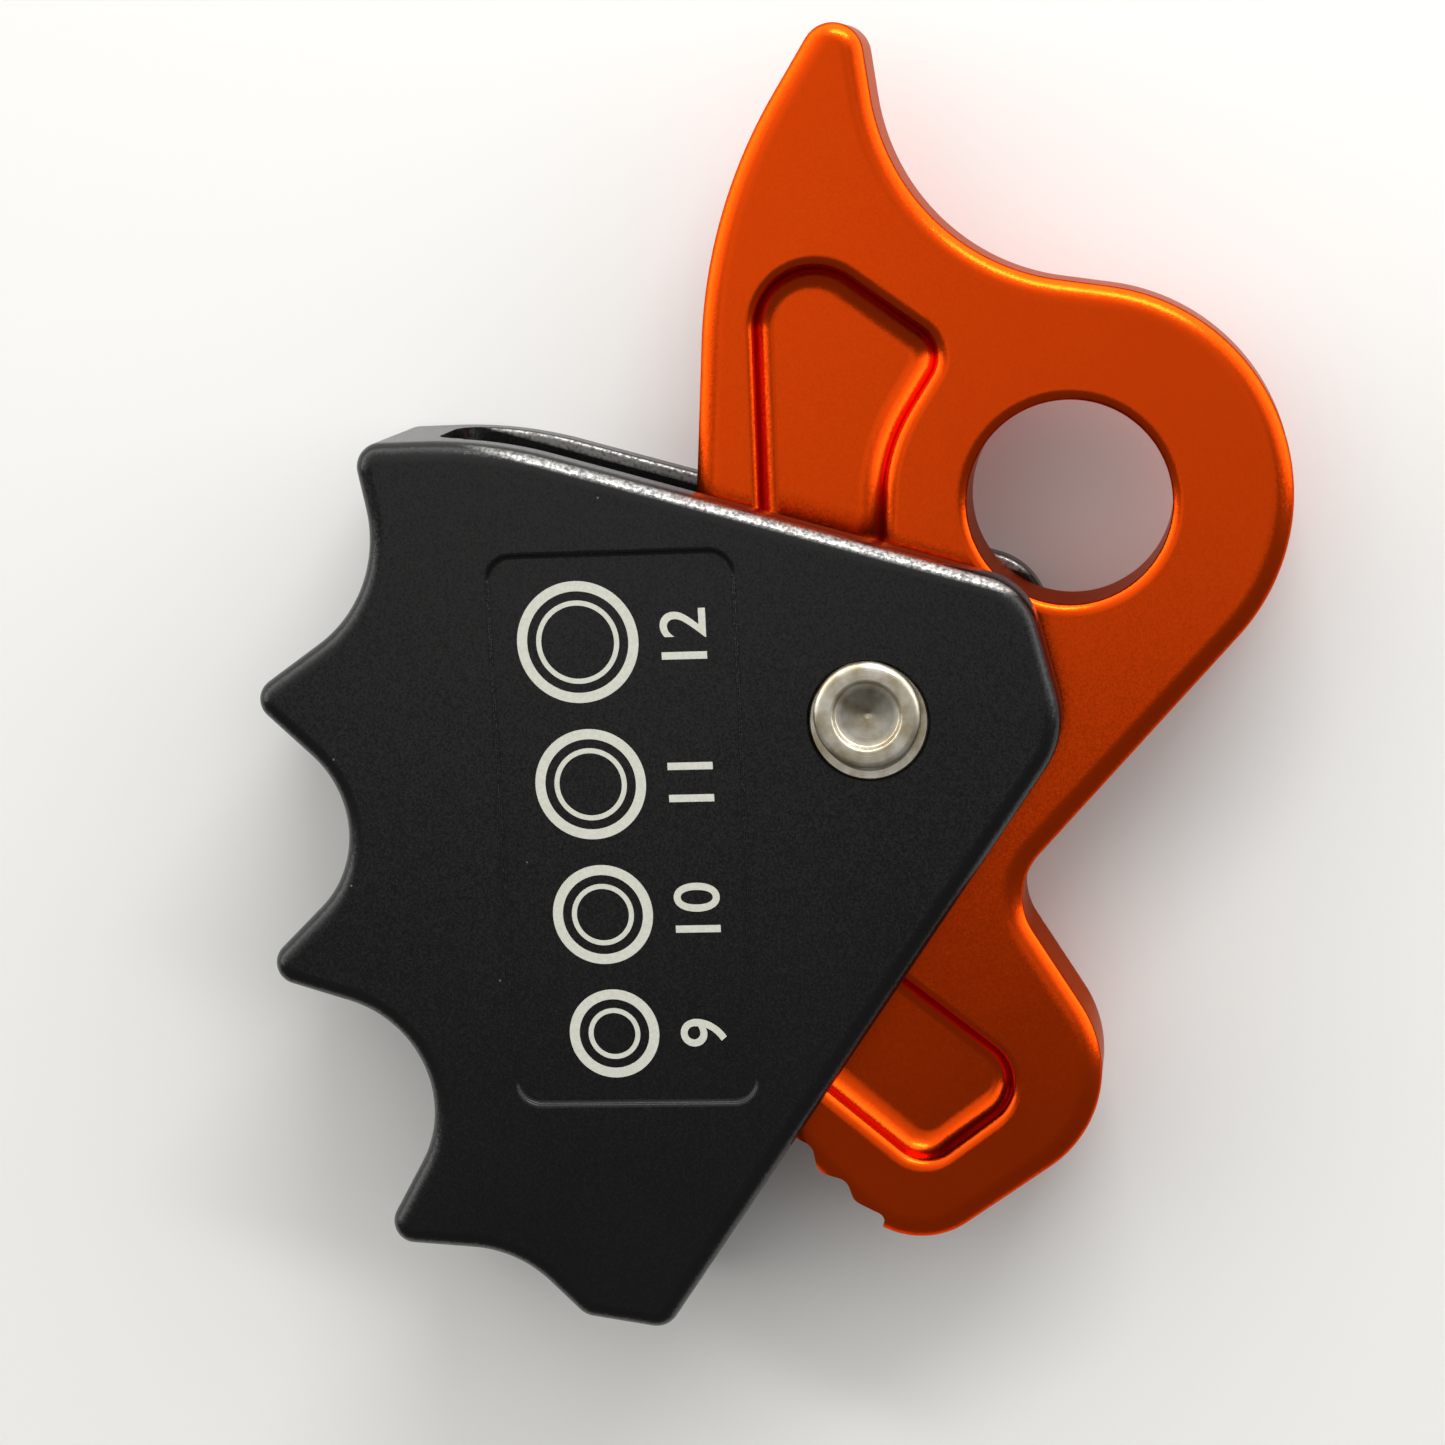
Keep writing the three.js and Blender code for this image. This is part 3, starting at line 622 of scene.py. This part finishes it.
bush_wall, thrust_width = 1, 1.8
bush_radius = bore_radius + bush_wall
lever_bore = bush_radius + running_gap
thrust_radius = lever_bore + thrust_width
boss_radius = thrust_radius + running_gap
coil_turns, coil_pitch, coil_rise, coil_clearance = 2.25, 1.9, 1.5, 0.9
leg_reach, leg_bend = 5, 1.2
spring_top = cheek + coil_rise + coil_pitch * coil_turns + wire / 2 + 2 * running_gap
spring_well = coil_radius + wire / 2 + coil_clearance
slot_bearing = spring_start + 360 * coil_turns
slot_half = wire / 2 + leg_clearance
slot_corners = [(boss_radius, -slot_half), (coil_radius + leg_reach + leg_clearance, -slot_half)]
slot_corners += [(x, -y) for x, y in reversed(slot_corners)]
slot_turn = math.radians(slot_bearing)
slot_plan = [
    (x * math.cos(slot_turn) - y * math.sin(slot_turn), x * math.sin(slot_turn) + y * math.cos(slot_turn))
    for x, y in slot_corners
]
slot_heights = (lever_low - overrun, spring_top)
leg_slot = loft("leg_slot_cutter", [[(x, y, z) for x, y in slot_plan] for z in slot_heights])
well_section = [(spring_well, z) for z in slot_heights]
boss_section = [(boss_radius, lever_low - 2 * overrun), (boss_radius, spring_top + overrun)]
spring_well_cutter = turned("spring_well_cutter", well_section)
carve(spring_well_cutter, [turned("boss", boss_section)])

# One comb-shaped cutter leaves the teeth standing: rounded crests between its gullets, and a small notch
# where they end at the foot.
gullet_count, gullet_radius, gullet_depth = 4, 1.35, 1.2
gullet_pitch, first_gullet = 5.13, -131.1
notch_radius, notch_depth, notch_bearing = 0.97, 0.37, -119
crest_drop, comb_margin = 0.08, 5
tooth_reach = tooth_arc[2]
crest_radius = gullet_pitch / 2 - gullet_radius
gullet_turn = math.degrees(gullet_pitch / tooth_reach)
comb_bearings = [notch_bearing] + [first_gullet - gullet_turn * i for i in range(gullet_count)]
notch = polar(tooth_arc, tooth_reach - notch_depth + notch_radius, notch_bearing)
comb_outline = [(*notch, notch_radius)]
for before, bearing in zip(comb_bearings, comb_bearings[1:]):
    crest = polar(tooth_arc, tooth_reach - crest_drop - crest_radius, (before + bearing) / 2)
    gullet = polar(tooth_arc, tooth_reach - gullet_depth + gullet_radius, bearing)
    comb_outline += [(*crest, -crest_radius), (*gullet, gullet_radius)]
for bearing in reversed(comb_bearings):
    comb_outline.append((*polar(tooth_arc, tooth_reach + comb_margin, bearing), gullet_radius))
comb_section = [(0, lever_low - overrun), (0, lever_high + overrun)]
bore_section = [(lever_bore, lever_low - overrun), (lever_bore, lever_high + overrun)]

carve(lever, [
    turned("eye_cutter", eye_profile, (eye_x, eye_y), sides=144),
    pocket_cutter("upper_pocket_front", upper_pocket, upper_drift, lever_high, 1),
    pocket_cutter("upper_pocket_rear", upper_pocket, upper_drift, lever_low, -1),
    pocket_cutter("lower_pocket_front", lower_pocket, lower_drift, lever_high, 1),
    pocket_cutter("lower_pocket_rear", lower_pocket, lower_drift, lever_low, -1),
    turned("lever_bore_cutter", bore_section),
    spring_well_cutter,
    leg_slot,
    plate("tooth_comb", comb_outline, comb_section),
])

# The orange dye lets the bright metal under it mirror the lamps, so its edges glow and its flats stay
# deep. The skin's grain is finer than the body's, but still drawn coarse enough to show. The steep walls
# are painted darker, as painted shade.
skin_grain, skin_lean_share, tone = 0.11, 0.06, 14.0
orange_anodised, tree = new_material("satin_orange_anodised_aluminium")
coords = add(tree, "ShaderNodeTexCoord").outputs["Object"]
skin_normal, flatness = grained_skin(tree, coords, skin_grain, skin_lean_share)
tones = add(tree, "ShaderNodeTexNoise", {"Vector": coords, "Scale": 1 / (tone * MM), "Detail": 4.0})
dye = {0: tones.outputs[0], 6: linear("#E8480A"), 7: linear("#EE4C0B")}
dye = add(tree, "ShaderNodeMix", dye, data_type="RGBA")
satin = add(tree, "ShaderNodeMapRange", {0: tones.outputs[0], 3: 0.22, 4: 0.27})
# Painted shade: the dye is darkened on the steep walls, down to about a quarter on the steepest.
steep_wall_shade = add(tree, "ShaderNodeMapRange", {0: flatness, 1: 0.3, 2: 0.7, 3: 0.28, 4: 1.0})
shaded_dye = {0: dye.outputs[2], "Scale": steep_wall_shade.outputs[0]}
shaded_dye = add(tree, "ShaderNodeVectorMath", shaded_dye, operation="SCALE")
skin = {"Base Color": shaded_dye.outputs[0], "Metallic": 1.0, "Specular Tint": linear("#FF9A66")}
skin |= {"Roughness": satin.outputs[0], "Normal": skin_normal}
end_material(tree, skin)
finish(lever, orange_anodised, "orange_anodised_aluminium", "lever", "cam_lever")

# Two acetal rings keep the lever's faces off the cheeks. They are turned from white rod, which leaves fine
# grooves that dull their shine, and their edges are just broken.
ring_break, thrust_thickness = 0.12, 0.7


def turned_ring(name, section, centre=(0, 0), sides=96):
    """A turned ring, whose section of (radius, height) pairs closes on itself."""
    bearings = [360 * side / sides for side in range(sides)]
    rings = [[(*polar(centre, radius, bearing), z) for radius, z in section] for bearing in bearings]
    return loft(name, rings, endless=True)


def washer(name, inner, outer, low, high, breaks):
    """A flat ring with broken edges."""
    return turned_ring(name, [
        (inner + breaks, low), (outer - breaks, low), (outer, low + breaks), (outer, high - breaks),
        (outer - breaks, high), (inner + breaks, high), (inner, high - breaks), (inner, low + breaks),
    ])


def turning_marks(tree, coords, pitch, depth):
    """Fine turned grooves about the pivot, as a bump."""
    middle = add(tree, "ShaderNodeMapping", {"Vector": coords, "Location": (-pivot.x, -pivot.y, 0)})
    flat = add(tree, "ShaderNodeVectorMath", {0: middle.outputs[0], 1: (1, 1, 0)}, operation="MULTIPLY")
    reach = add(tree, "ShaderNodeVectorMath", {0: flat.outputs[0]}, operation="LENGTH")
    count = {0: reach.outputs["Value"], 1: 1 / (pitch * MM)}
    count = add(tree, "ShaderNodeMath", count, operation="MULTIPLY")
    grooves = {"W": count.outputs[0], "Scale": 1.0}
    grooves = add(tree, "ShaderNodeTexNoise", grooves, noise_dimensions="1D")
    marks = {"Height": grooves.outputs[0], "Strength": 1.0, "Distance": depth * MM}
    return add(tree, "ShaderNodeBump", marks).outputs[0]


rod_mark_pitch, rod_mark_depth = 0.25, 0.01
white_acetal, tree = new_material("turned_white_acetal")
coords = add(tree, "ShaderNodeTexCoord").outputs["Object"]
marks = turning_marks(tree, coords, rod_mark_pitch, rod_mark_depth)
paint = {"Base Color": linear("#E9E5D9"), "Roughness": 0.45, "IOR": 1.48, "Normal": marks}
end_material(tree, paint)
thrust_feet = {
    "thrust_washer_rear": lever_low - running_gap - thrust_thickness,
    "thrust_washer_front": lever_high + running_gap,
}
for node, low in thrust_feet.items():
    high = low + thrust_thickness
    thrust_washer = washer(f"acetal_{node}", lever_bore, thrust_radius, low, high, ring_break)
    finish(thrust_washer, white_acetal, "white_acetal", "lever", node)

# A sintered bronze bush stands between the cheeks round the rivet's shank, and the lever turns on it. Its
# pores, drawn coarse enough to show, hold oil, which leaves it a dull and mottled brown.
pore, pore_depth = 0.2, 0.02
sintered_bronze, tree = new_material("sintered_bronze")
coords = add(tree, "ShaderNodeTexCoord").outputs["Object"]
pores = add(tree, "ShaderNodeTexNoise", {"Vector": coords, "Scale": 1 / (pore * MM), "Detail": 3.0})
pitted = {"Height": pores.outputs[0], "Strength": 0.3, "Distance": pore_depth * MM}
bump = add(tree, "ShaderNodeBump", pitted)
oiled = {0: pores.outputs[0], 6: linear("#6E4B22"), 7: linear("#B98C4E")}
oiled = add(tree, "ShaderNodeMix", oiled, data_type="RGBA")
metal = {"Base Color": oiled.outputs[2], "Metallic": 1.0, "Roughness": 0.42, "Normal": bump.outputs[0]}
end_material(tree, metal)
bush_span = (cheek + running_gap, body_thickness - cheek - running_gap)
bush = washer("sintered_pivot_bush", bore_radius, bush_radius, *bush_span, ring_break)
finish(bush, sintered_bronze, "sintered_bronze", "frame", "pivot_bush")

# The torsion spring is wound cold from music wire. One leg drops into the rear cheek, and the other reaches
# out into the slot in the lever, so the turns between them wind up as the lever swings. The die leaves the
# wire bright and faintly scored, and the scoring is drawn coarser than it is.
coil_steps, bend_steps, wire_sides = 40, 6, 16
draw_line, draw_depth = 0.08, 0.01


def spring_route():
    """The middle of the wire: a leg, a bend, the turns, a bend and a leg."""
    base = cheek + coil_rise
    end = base + coil_pitch * coil_turns
    around = 360 / (math.tau * coil_radius)
    angles = [math.pi / 2 * i / bend_steps for i in range(bend_steps + 1)]
    bends = [(leg_bend * math.sin(angle), leg_bend * (1 - math.cos(angle))) for angle in angles]
    route = [(coil_radius, 0, cheek - leg_hole_depth + leg_clearance)]
    route += [(coil_radius, aside * around, base - leg_bend + onward) for onward, aside in bends]
    # The bends take up the first and the last steps of the turns.
    for step in range(2, round(coil_turns * coil_steps) - 1):
        route.append((coil_radius, 360 * step / coil_steps, base + coil_pitch * step / coil_steps))
    for onward, aside in bends:
        route.append((coil_radius + aside, 360 * coil_turns - (leg_bend - onward) * around, end))
    route.append((coil_radius + leg_reach, 360 * coil_turns, end))
    return [place(*polar((0, 0), radius, spring_start + turn), z) for radius, turn, z in route]


spring_steel, tree = new_material("drawn_spring_steel_wire")
coords = add(tree, "ShaderNodeTexCoord").outputs["Object"]
lines = add(tree, "ShaderNodeTexNoise", {"Vector": coords, "Scale": 1 / (draw_line * MM)})
drawn = {"Height": lines.outputs[0], "Strength": 0.2, "Distance": draw_depth * MM}
bump = add(tree, "ShaderNodeBump", drawn)
metal = {"Base Color": linear("#8C8D90"), "Metallic": 1.0, "Roughness": 0.28, "Normal": bump.outputs[0]}
end_material(tree, metal)


def node_group(name, sizes):
    """An empty geometry tree whose named inputs are the sizes it works from, and what it is given."""
    group = bpy.data.node_groups.new(name, "GeometryNodeTree")
    group.interface.new_socket("Geometry", in_out="INPUT", socket_type="NodeSocketGeometry")
    for size_name, value in sizes.items():
        kind = "NodeSocketInt" if isinstance(value, int) else "NodeSocketFloat"
        group.interface.new_socket(size_name, in_out="INPUT", socket_type=kind)
    group.interface.new_socket("Material", in_out="INPUT", socket_type="NodeSocketMaterial")
    group.interface.new_socket("Geometry", in_out="OUTPUT", socket_type="NodeSocketGeometry")
    return group, add(group, "NodeGroupInput").outputs


def end_group(group, geometry, material):
    """Makes a tree's result real and gives it its material."""
    real = add(group, "GeometryNodeRealizeInstances", {"Geometry": geometry})
    painted = add(group, "GeometryNodeSetMaterial", {"Geometry": real.outputs[0], "Material": material})
    add(group, "NodeGroupOutput", {"Geometry": painted.outputs[0]})


def grow(piece, group, sizes, material):
    """Runs a geometry tree on a piece with its sizes, and keeps the result as the piece's plain mesh."""
    modifier = piece.modifiers.new(group.name, "NODES")
    modifier.node_group = group
    for item in group.interface.items_tree:
        if item.in_out == "INPUT" and item.name in sizes:
            modifier[item.identifier] = sizes[item.name]
        if item.in_out == "INPUT" and item.name == "Material":
            modifier[item.identifier] = material
    settle(piece)


spring_sizes = {"Wire Radius": wire / 2 * MM, "Wire Sides": wire_sides}
group, given = node_group("wire_on_a_route", spring_sizes)
route_curve = add(group, "GeometryNodeMeshToCurve", {"Mesh": given["Geometry"]})
wire_section = {"Resolution": given["Wire Sides"], "Radius": given["Wire Radius"]}
wire_section = add(group, "GeometryNodeCurvePrimitiveCircle", wire_section)
sweep = {"Curve": route_curve.outputs[0], "Profile Curve": wire_section.outputs[0], "Fill Caps": True}
tube = add(group, "GeometryNodeCurveToMesh", sweep)
end_group(group, tube.outputs[0], given["Material"])
route = spring_route()
spring_mesh = bpy.data.meshes.new("wound_torsion_spring")
spring_mesh.from_pydata(route, [(i, i + 1) for i in range(len(route) - 1)], [])
spring = bpy.data.objects.new("wound_torsion_spring", spring_mesh)
bpy.context.collection.objects.link(spring)
grow(spring, group, spring_sizes, spring_steel)
finish(spring, spring_steel, "spring_steel", None, "torsion_spring")
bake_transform(spring)

# Each rivet head is closed against a stainless ring in a well of the cheek. The front ring shows as a thin
# crescent, because the head was formed a little off centre. Turned grooves soften the steel's shine, which
# is dull in patches, and the middle of the head is painted darker, as painted shade.
head_drift = (-0.05, 0.7)
dish_shade_radius, dish_shade_fade, tarnish = 2.5, 0.6, 2.2
steel_mark_pitch, steel_mark_depth = 0.12, 0.012
stainless, tree = new_material("turned_stainless_steel")
coords = add(tree, "ShaderNodeTexCoord").outputs["Object"]
marks = turning_marks(tree, coords, steel_mark_pitch, steel_mark_depth)
smear = add(tree, "ShaderNodeTexNoise", {"Vector": coords, "Scale": 1 / (tarnish * MM), "Detail": 4.0})
patches = add(tree, "ShaderNodeMapRange", {0: smear.outputs[0], 1: 0.35, 2: 0.65})
tint = {0: patches.outputs[0], 6: linear("#B9AC8F"), 7: linear("#EAE5D8")}
tint = add(tree, "ShaderNodeMix", tint, data_type="RGBA")
worn = add(tree, "ShaderNodeMapRange", {0: smear.outputs[0], 3: 0.34, 4: 0.46})
# Painted shade: the middle of the head is darkened to half, fading out towards its ring.
off_middle = {0: coords, 1: place(*head_drift, body_thickness)}
off_middle = add(tree, "ShaderNodeVectorMath", off_middle, operation="DISTANCE")
dish_shade_end = dish_shade_radius + dish_shade_fade
dish_shade = {0: off_middle.outputs["Value"], 1: dish_shade_radius * MM, 2: dish_shade_end * MM, 3: 0.5, 4: 1.0}
dish_shade = add(tree, "ShaderNodeMapRange", dish_shade)
tint = add(tree, "ShaderNodeVectorMath", {0: tint.outputs[2], "Scale": dish_shade.outputs[0]}, operation="SCALE")
metal = {"Base Color": tint.outputs[0], "Metallic": 1.0, "Roughness": worn.outputs[0], "Normal": marks}
end_material(tree, metal)
seat_feet = {
    "rivet_washer_front": body_thickness - seat_depth + running_gap,
    "rivet_washer_rear": rear_seat_depth - running_gap - seat_thickness,
}
for node, low in seat_feet.items():
    high = low + seat_thickness
    seat = washer(f"stainless_{node}", bore_radius, seat_radius, low, high, seat_break)
    finish(seat, stainless, "stainless_steel", "frame", node)

# The rivet's rear head lies sunk in its well. The front head was spun over by the closing tool, which left
# a rounded ring round a dish with a shallow cone and a pip in its middle. The formed end is off centre.
head_radius, head_height, head_edge = 5.22, 1.15, 0.7
head_undercut, head_lift = 0.35, 0.25
rear_sink, rear_height, rear_radius, rear_edge = 0.2, 1, 5.3, 0.5
dish_floor_radius, dish_wall, cone_depth = 2.95, 0.6, 0.8
rim_round, root_round, dish_slope = 0.32, 0.2, 62
pip_radius, pip_depth, pip_bevel, pip_bevel_rise = 0.4, 0.3, 0.12, 0.03
pole_radius = 0.02
crown = body_thickness + head_height
dish_top = crown - dish_wall
head_profile = [(pole_radius, rear_sink), (rear_radius - rear_edge - support, rear_sink)]
head_profile += quarter((rear_radius - rear_edge, rear_sink + rear_edge), rear_edge, 270, 90)
head_profile += [(rear_radius, rear_sink + rear_height), (shank_radius, rear_sink + rear_height)]
head_profile += [(shank_radius, body_thickness), (head_radius - head_undercut, body_thickness)]
slope_turn = math.radians(dish_slope)
slope_drop = dish_wall - (rim_round + root_round) * (1 - math.cos(slope_turn))
slope_run = slope_drop / math.tan(slope_turn) + (rim_round + root_round) * math.sin(slope_turn)
rim_centre = (dish_floor_radius + slope_run, crown - rim_round)
root_centre = (dish_floor_radius, dish_top + root_round)
cone_floor = dish_top - cone_depth
formed_end = [(head_radius, body_thickness + head_lift)]
formed_end += quarter((head_radius - head_edge, crown - head_edge), head_edge, 0, 90)
formed_end += quarter(rim_centre, rim_round, 90, dish_slope)
formed_end += quarter(root_centre, root_round, 270 + dish_slope, -dish_slope, steps=4)
formed_end += [(pip_radius + pip_bevel, cone_floor + pip_bevel_rise), (pip_radius, cone_floor)]
formed_end += [(pole_radius, cone_floor - pip_depth)]
head_profile += [(radius, z, 1) for radius, z in formed_end]
rivet = turned("closed_pivot_rivet", head_profile, drift=head_drift, sides=128)
finish(rivet, stainless, "stainless_steel", "frame", "pivot_rivet", sharp=50)

# The front recess carries a laser-marked rope gauge: a row of rings in the true sizes of the ropes, each
# with its size in millimetres under it. The rear recess has a plain arrow along the rope. The laser turns
# the dyed skin a pale, matt grey, and its hatching is drawn coarse enough to show.
mark_height, hatch_grain = 0.02, 0.35
etched, tree = new_material("laser_etched_aluminium")
coords = add(tree, "ShaderNodeTexCoord").outputs["Object"]
hatch = {"Vector": coords, "Scale": 1 / (hatch_grain * MM), "Detail": 3.0}
hatch = add(tree, "ShaderNodeTexNoise", hatch)
shade = {0: hatch.outputs[0], 6: linear("#BFC0B4"), 7: linear("#DFE0D4")}
shade = add(tree, "ShaderNodeMix", shade, data_type="RGBA")
metal = {"Base Color": shade.outputs[2], "Metallic": 0.2, "Roughness": 0.55}
end_material(tree, metal)

rope_sizes = (9, 10, 11, 12)
ring_gap, sheath_stroke, core_stroke, core_inset = 2.6, 1.0, 0.5, 1.9
figure_height, figure_gap, figure_boldness, cap_height_share = 4.6, 2.4, 0.05, 0.72
front_floor = body_thickness - label_depth
gauge_length = sum(rope_sizes) + ring_gap * (len(rope_sizes) - 1)
gauge_base = label_x + (max(rope_sizes) + figure_height + figure_gap) / 2 - figure_height - figure_gap


def mark_ring(name, centre, outer, stroke, floor_z):
    """A thin flat ring on the floor of a recess."""
    inner, top = outer - stroke, floor_z + mark_height
    return turned_ring(name, [(inner, floor_z), (outer, floor_z), (outer, top), (inner, top)], centre)


def figures(name, text, centre, floor_z):
    """Plain figures that read along the rope, centred on a point of the plan."""
    curve = bpy.data.curves.new(name, "FONT")
    curve.body = text
    curve.size = figure_height / cap_height_share * MM
    curve.align_x = "CENTER"
    curve.align_y = "CENTER"
    curve.extrude = mark_height / 2 * MM
    curve.offset = figure_boldness * MM
    piece = bpy.data.objects.new(name, curve)
    bpy.context.collection.objects.link(piece)
    evaluated = piece.evaluated_get(bpy.context.evaluated_depsgraph_get())
    mesh = bpy.data.meshes.new_from_object(evaluated)
    bpy.data.objects.remove(piece)
    spot = place(*centre, floor_z + mark_height / 2)
    mesh.transform(Matrix.Translation(spot) @ Matrix.Rotation(math.pi / 2, 4, "Z"))
    piece = bpy.data.objects.new(name, mesh)
    bpy.context.collection.objects.link(piece)
    return piece


marks = []
figure_x = gauge_base + figure_gap + figure_height / 2
ring_foot = label_y - gauge_length / 2
for size in rope_sizes:
    centre = (gauge_base - size / 2, ring_foot + size / 2)
    core_reach = size / 2 - core_inset
    marks.append(mark_ring(f"sheath_{size}", centre, size / 2, sheath_stroke, front_floor))
    marks.append(mark_ring(f"core_{size}", centre, core_reach, core_stroke, front_floor))
    marks.append(figures(f"figure_{size}", str(size), (figure_x, centre[1]), front_floor))
    ring_foot += size + ring_gap

# The arrow shows which way the rope is loaded. It is drawn for a reader of the rear face.
arrow_length, arrow_width, arrow_shaft, arrow_head = 38, 12, 4.5, 13
half_length = arrow_length / 2
neck_y = half_length - arrow_head
arrow_side = [(arrow_shaft / 2, -half_length), (arrow_shaft / 2, neck_y), (arrow_width / 2, neck_y)]
arrow_outline = arrow_side + [(0, half_length)] + [(-x, y) for x, y in reversed(arrow_side)]
arrow_plan = [(label_x + x, label_y + y) for x, y in arrow_outline]
arrow_heights = (label_depth - mark_height, label_depth)
marks.append(loft("load_arrow", [[(x, y, z) for x, y in arrow_plan] for z in arrow_heights]))
for mark in marks:
    finish(mark, etched, "stainless_steel", "frame")

low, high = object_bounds()
